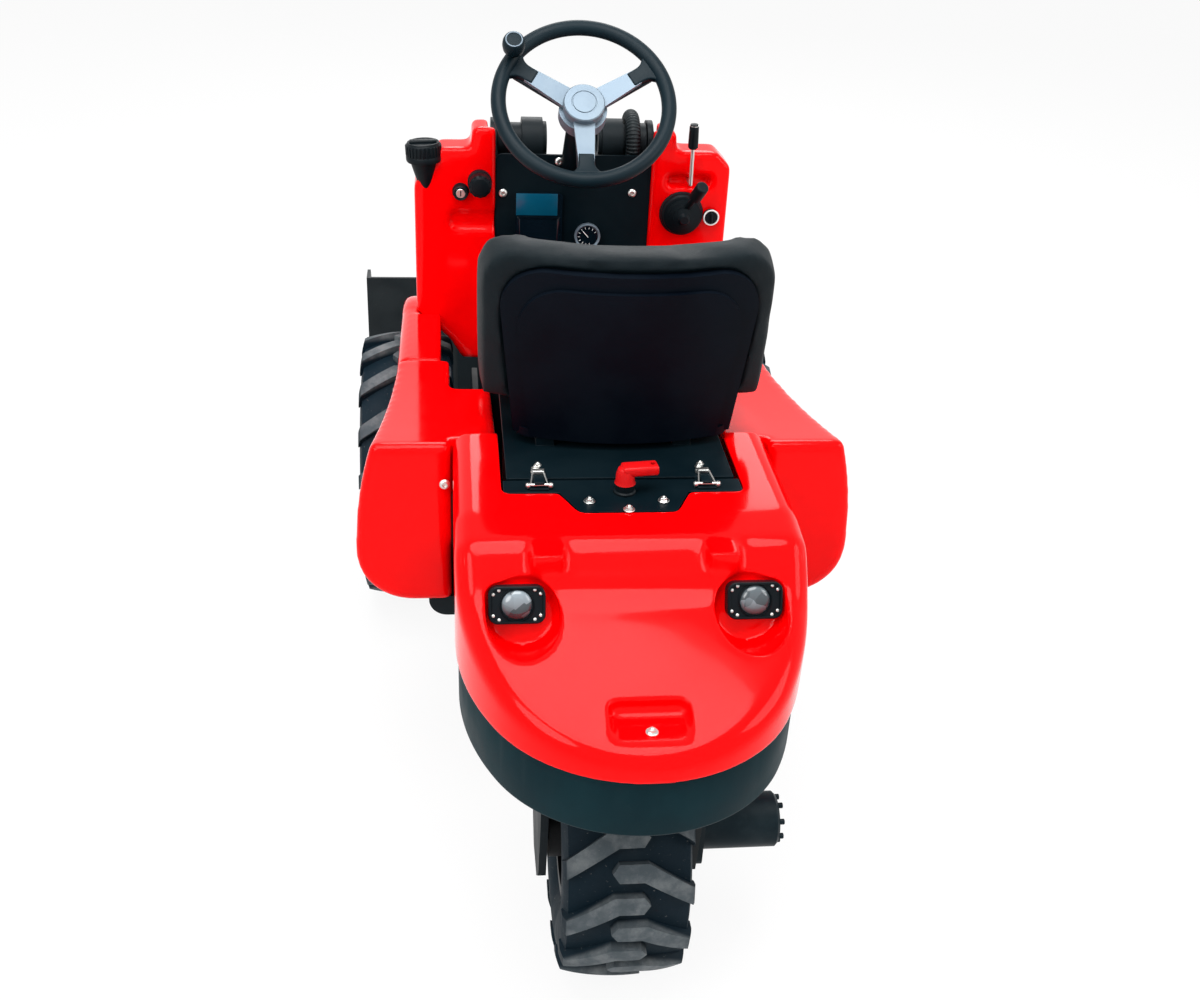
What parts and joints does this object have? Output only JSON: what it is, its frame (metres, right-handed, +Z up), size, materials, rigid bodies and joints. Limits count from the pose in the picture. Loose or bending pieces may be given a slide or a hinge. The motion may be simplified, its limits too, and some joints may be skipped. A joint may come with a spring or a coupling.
{
  "type": "mini loader",
  "caption": "Three-wheel ride-on mini loader with a steered rear wheel, tip-up seat, steering wheel, front boom with lift and tilt cylinders, and an open bucket.",
  "frame": {"origin": "on the ground under the middle of the machine's box", "axes": "+X right, +Y forward towards the bucket, +Z up"},
  "size_m": [0.914, 2.381, 1.2647],
  "materials": {
    "red_shell": "glossy red moulded shell",
    "black_paint": "satin black painted steel",
    "frame_paint": "satin black painted frame steel",
    "weight_paint": "dark painted casting",
    "engine_cast": "cast engine metal",
    "tyre_rubber": "black lugged tyre rubber",
    "rim_paint": "satin dark painted rim steel",
    "motor_paint": "black painted hydraulic motor",
    "seat_plastic": "matt black moulded seat shell",
    "seat_vinyl": "black grained seat vinyl",
    "lamp_black": "black lamp housing",
    "lamp_lens": "clear lamp lens",
    "ring_grip": "black moulded grip",
    "spoke_metal": "satin machined aluminium",
    "knob_black": "black moulded knob",
    "key_red": "glossy red key",
    "zinc": "zinc plated steel",
    "screen": "dark glossy display and gauge faces",
    "rod_chrome": "hard chromed rod",
    "hose_black": "black corrugated hose sleeve",
    "bucket_paint": "satin black painted bucket steel"
  },
  "bodies": {
    "chassis": {"main_frame": "frame_paint", "side_trays": "frame_paint", "boom_tower": "frame_paint", "floor_plate": "frame_paint", "seat_riser": "frame_paint", "counterweight": "weight_paint", "rear_cowl": "red_shell", "rear_lamps": "lamp_black", "lamp_lenses": "lamp_lens", "engine_block": "engine_cast", "side_boxes": "red_shell", "mudguards": "red_shell", "dash_panel": "black_paint", "left_console": "red_shell", "right_console": "red_shell", "fuel_filler": "knob_black", "console_knobs": "knob_black", "joystick": "knob_black", "hand_lever": "zinc", "dash_instruments": "screen", "steering_column": "black_paint", "deck_strip": "black_paint", "isolator_key": "key_red", "lid_latches": "zinc", "front_hub_motors": "motor_paint"},
    "steering_wheel": {"steering_ring": "ring_grip", "steering_spokes": "spoke_metal", "spinner_knob": "knob_black"},
    "seat": {"seat_lid": "black_paint", "seat_shell": "seat_plastic", "seat_back_cushion": "seat_vinyl", "seat_base_cushion": "seat_vinyl"},
    "fork": {"rear_fork": "frame_paint", "rear_motor": "motor_paint"},
    "rear_wheel": {"rear_tyre": "tyre_rubber", "rear_rim": "rim_paint"},
    "front_left_wheel": {"front_left_tyre": "tyre_rubber", "front_left_rim": "rim_paint"},
    "front_right_wheel": {"front_right_tyre": "tyre_rubber", "front_right_rim": "rim_paint"},
    "boom": {"boom_arms": "frame_paint", "boom_hose": "hose_black"},
    "lift_barrel": {"lift_barrel": "black_paint"},
    "lift_rod": {"lift_rod": "rod_chrome"},
    "tilt_barrel": {"tilt_barrel": "black_paint"},
    "tilt_rod": {"tilt_rod": "rod_chrome"},
    "bucket": {"hitch_plate": "frame_paint", "bucket": "bucket_paint"}
  },
  "joints": [
    {"name": "fork_steer", "type": "hinge", "parent": "chassis", "child": "fork", "pos_m": [0, -0.8795, 0.466], "axis": [0, 0, 1], "range_deg": [-65, 65]},
    {"name": "rear_wheel_spin", "type": "hinge", "parent": "fork", "child": "rear_wheel", "pos_m": [0, -0.8795, 0.228], "axis": [-1, 0, 0], "continuous": true},
    {"name": "front_left_spin", "type": "hinge", "parent": "chassis", "child": "front_left_wheel", "pos_m": [-0.341, 0.2125, 0.292], "axis": [-1, 0, 0], "continuous": true},
    {"name": "front_right_spin", "type": "hinge", "parent": "chassis", "child": "front_right_wheel", "pos_m": [0.341, 0.2125, 0.292], "axis": [-1, 0, 0], "continuous": true},
    {"name": "steering_wheel_turn", "type": "hinge", "parent": "chassis", "child": "steering_wheel", "pos_m": [0, 0.0365, 1.14], "axis": [0, 0.7009, -0.7133], "range_deg": [-525, 525]},
    {"name": "seat_tip", "type": "hinge", "parent": "chassis", "child": "seat", "pos_m": [0, -0.2755, 0.77], "axis": [-1, 0, 0], "range_deg": [0, 45]},
    {"name": "boom_lift", "type": "hinge", "parent": "chassis", "child": "boom", "pos_m": [0, 0.2705, 1.005], "axis": [1, 0, 0], "range_deg": [0, 85]},
    {"name": "bucket_tilt", "type": "hinge", "parent": "boom", "child": "bucket", "pos_m": [0, 0.6905, 0.16], "axis": [-1, 0, 0], "range_deg": [-25, 115]},
    {"name": "lift_barrel_swing", "type": "hinge", "parent": "chassis", "child": "lift_barrel", "pos_m": [0, 0.2705, 0.405], "axis": [1, 0, 0], "range_deg": [-4.33, 1]},
    {"name": "lift_rod_slide", "type": "slide", "parent": "lift_barrel", "child": "lift_rod", "axis": [0, 0.2213, 0.9752], "range_m": [-0.002, 0.284]},
    {"name": "tilt_barrel_swing", "type": "hinge", "parent": "boom", "child": "tilt_barrel", "pos_m": [0, 0.47768, 0.67804], "axis": [-1, 0, 0], "range_deg": [-2.04, 5.81]},
    {"name": "tilt_rod_slide", "type": "slide", "parent": "tilt_barrel", "child": "tilt_rod", "axis": [0, 0.5052, -0.863], "range_m": [-0.0371, 0.1633]}
  ],
  "couplings": [
    {"joint": "steering_wheel_turn", "follows": "fork_steer", "ratio": 8},
    {"joint": "lift_barrel_swing", "follows": "boom_lift", "ratio": -0.039158},
    {"joint": "lift_rod_slide", "follows": "boom_lift", "m_per_rad": 0.19007},
    {"joint": "tilt_barrel_swing", "follows": "bucket_tilt", "ratio": 0.041791},
    {"joint": "tilt_rod_slide", "follows": "bucket_tilt", "m_per_rad": 0.080385}
  ]
}
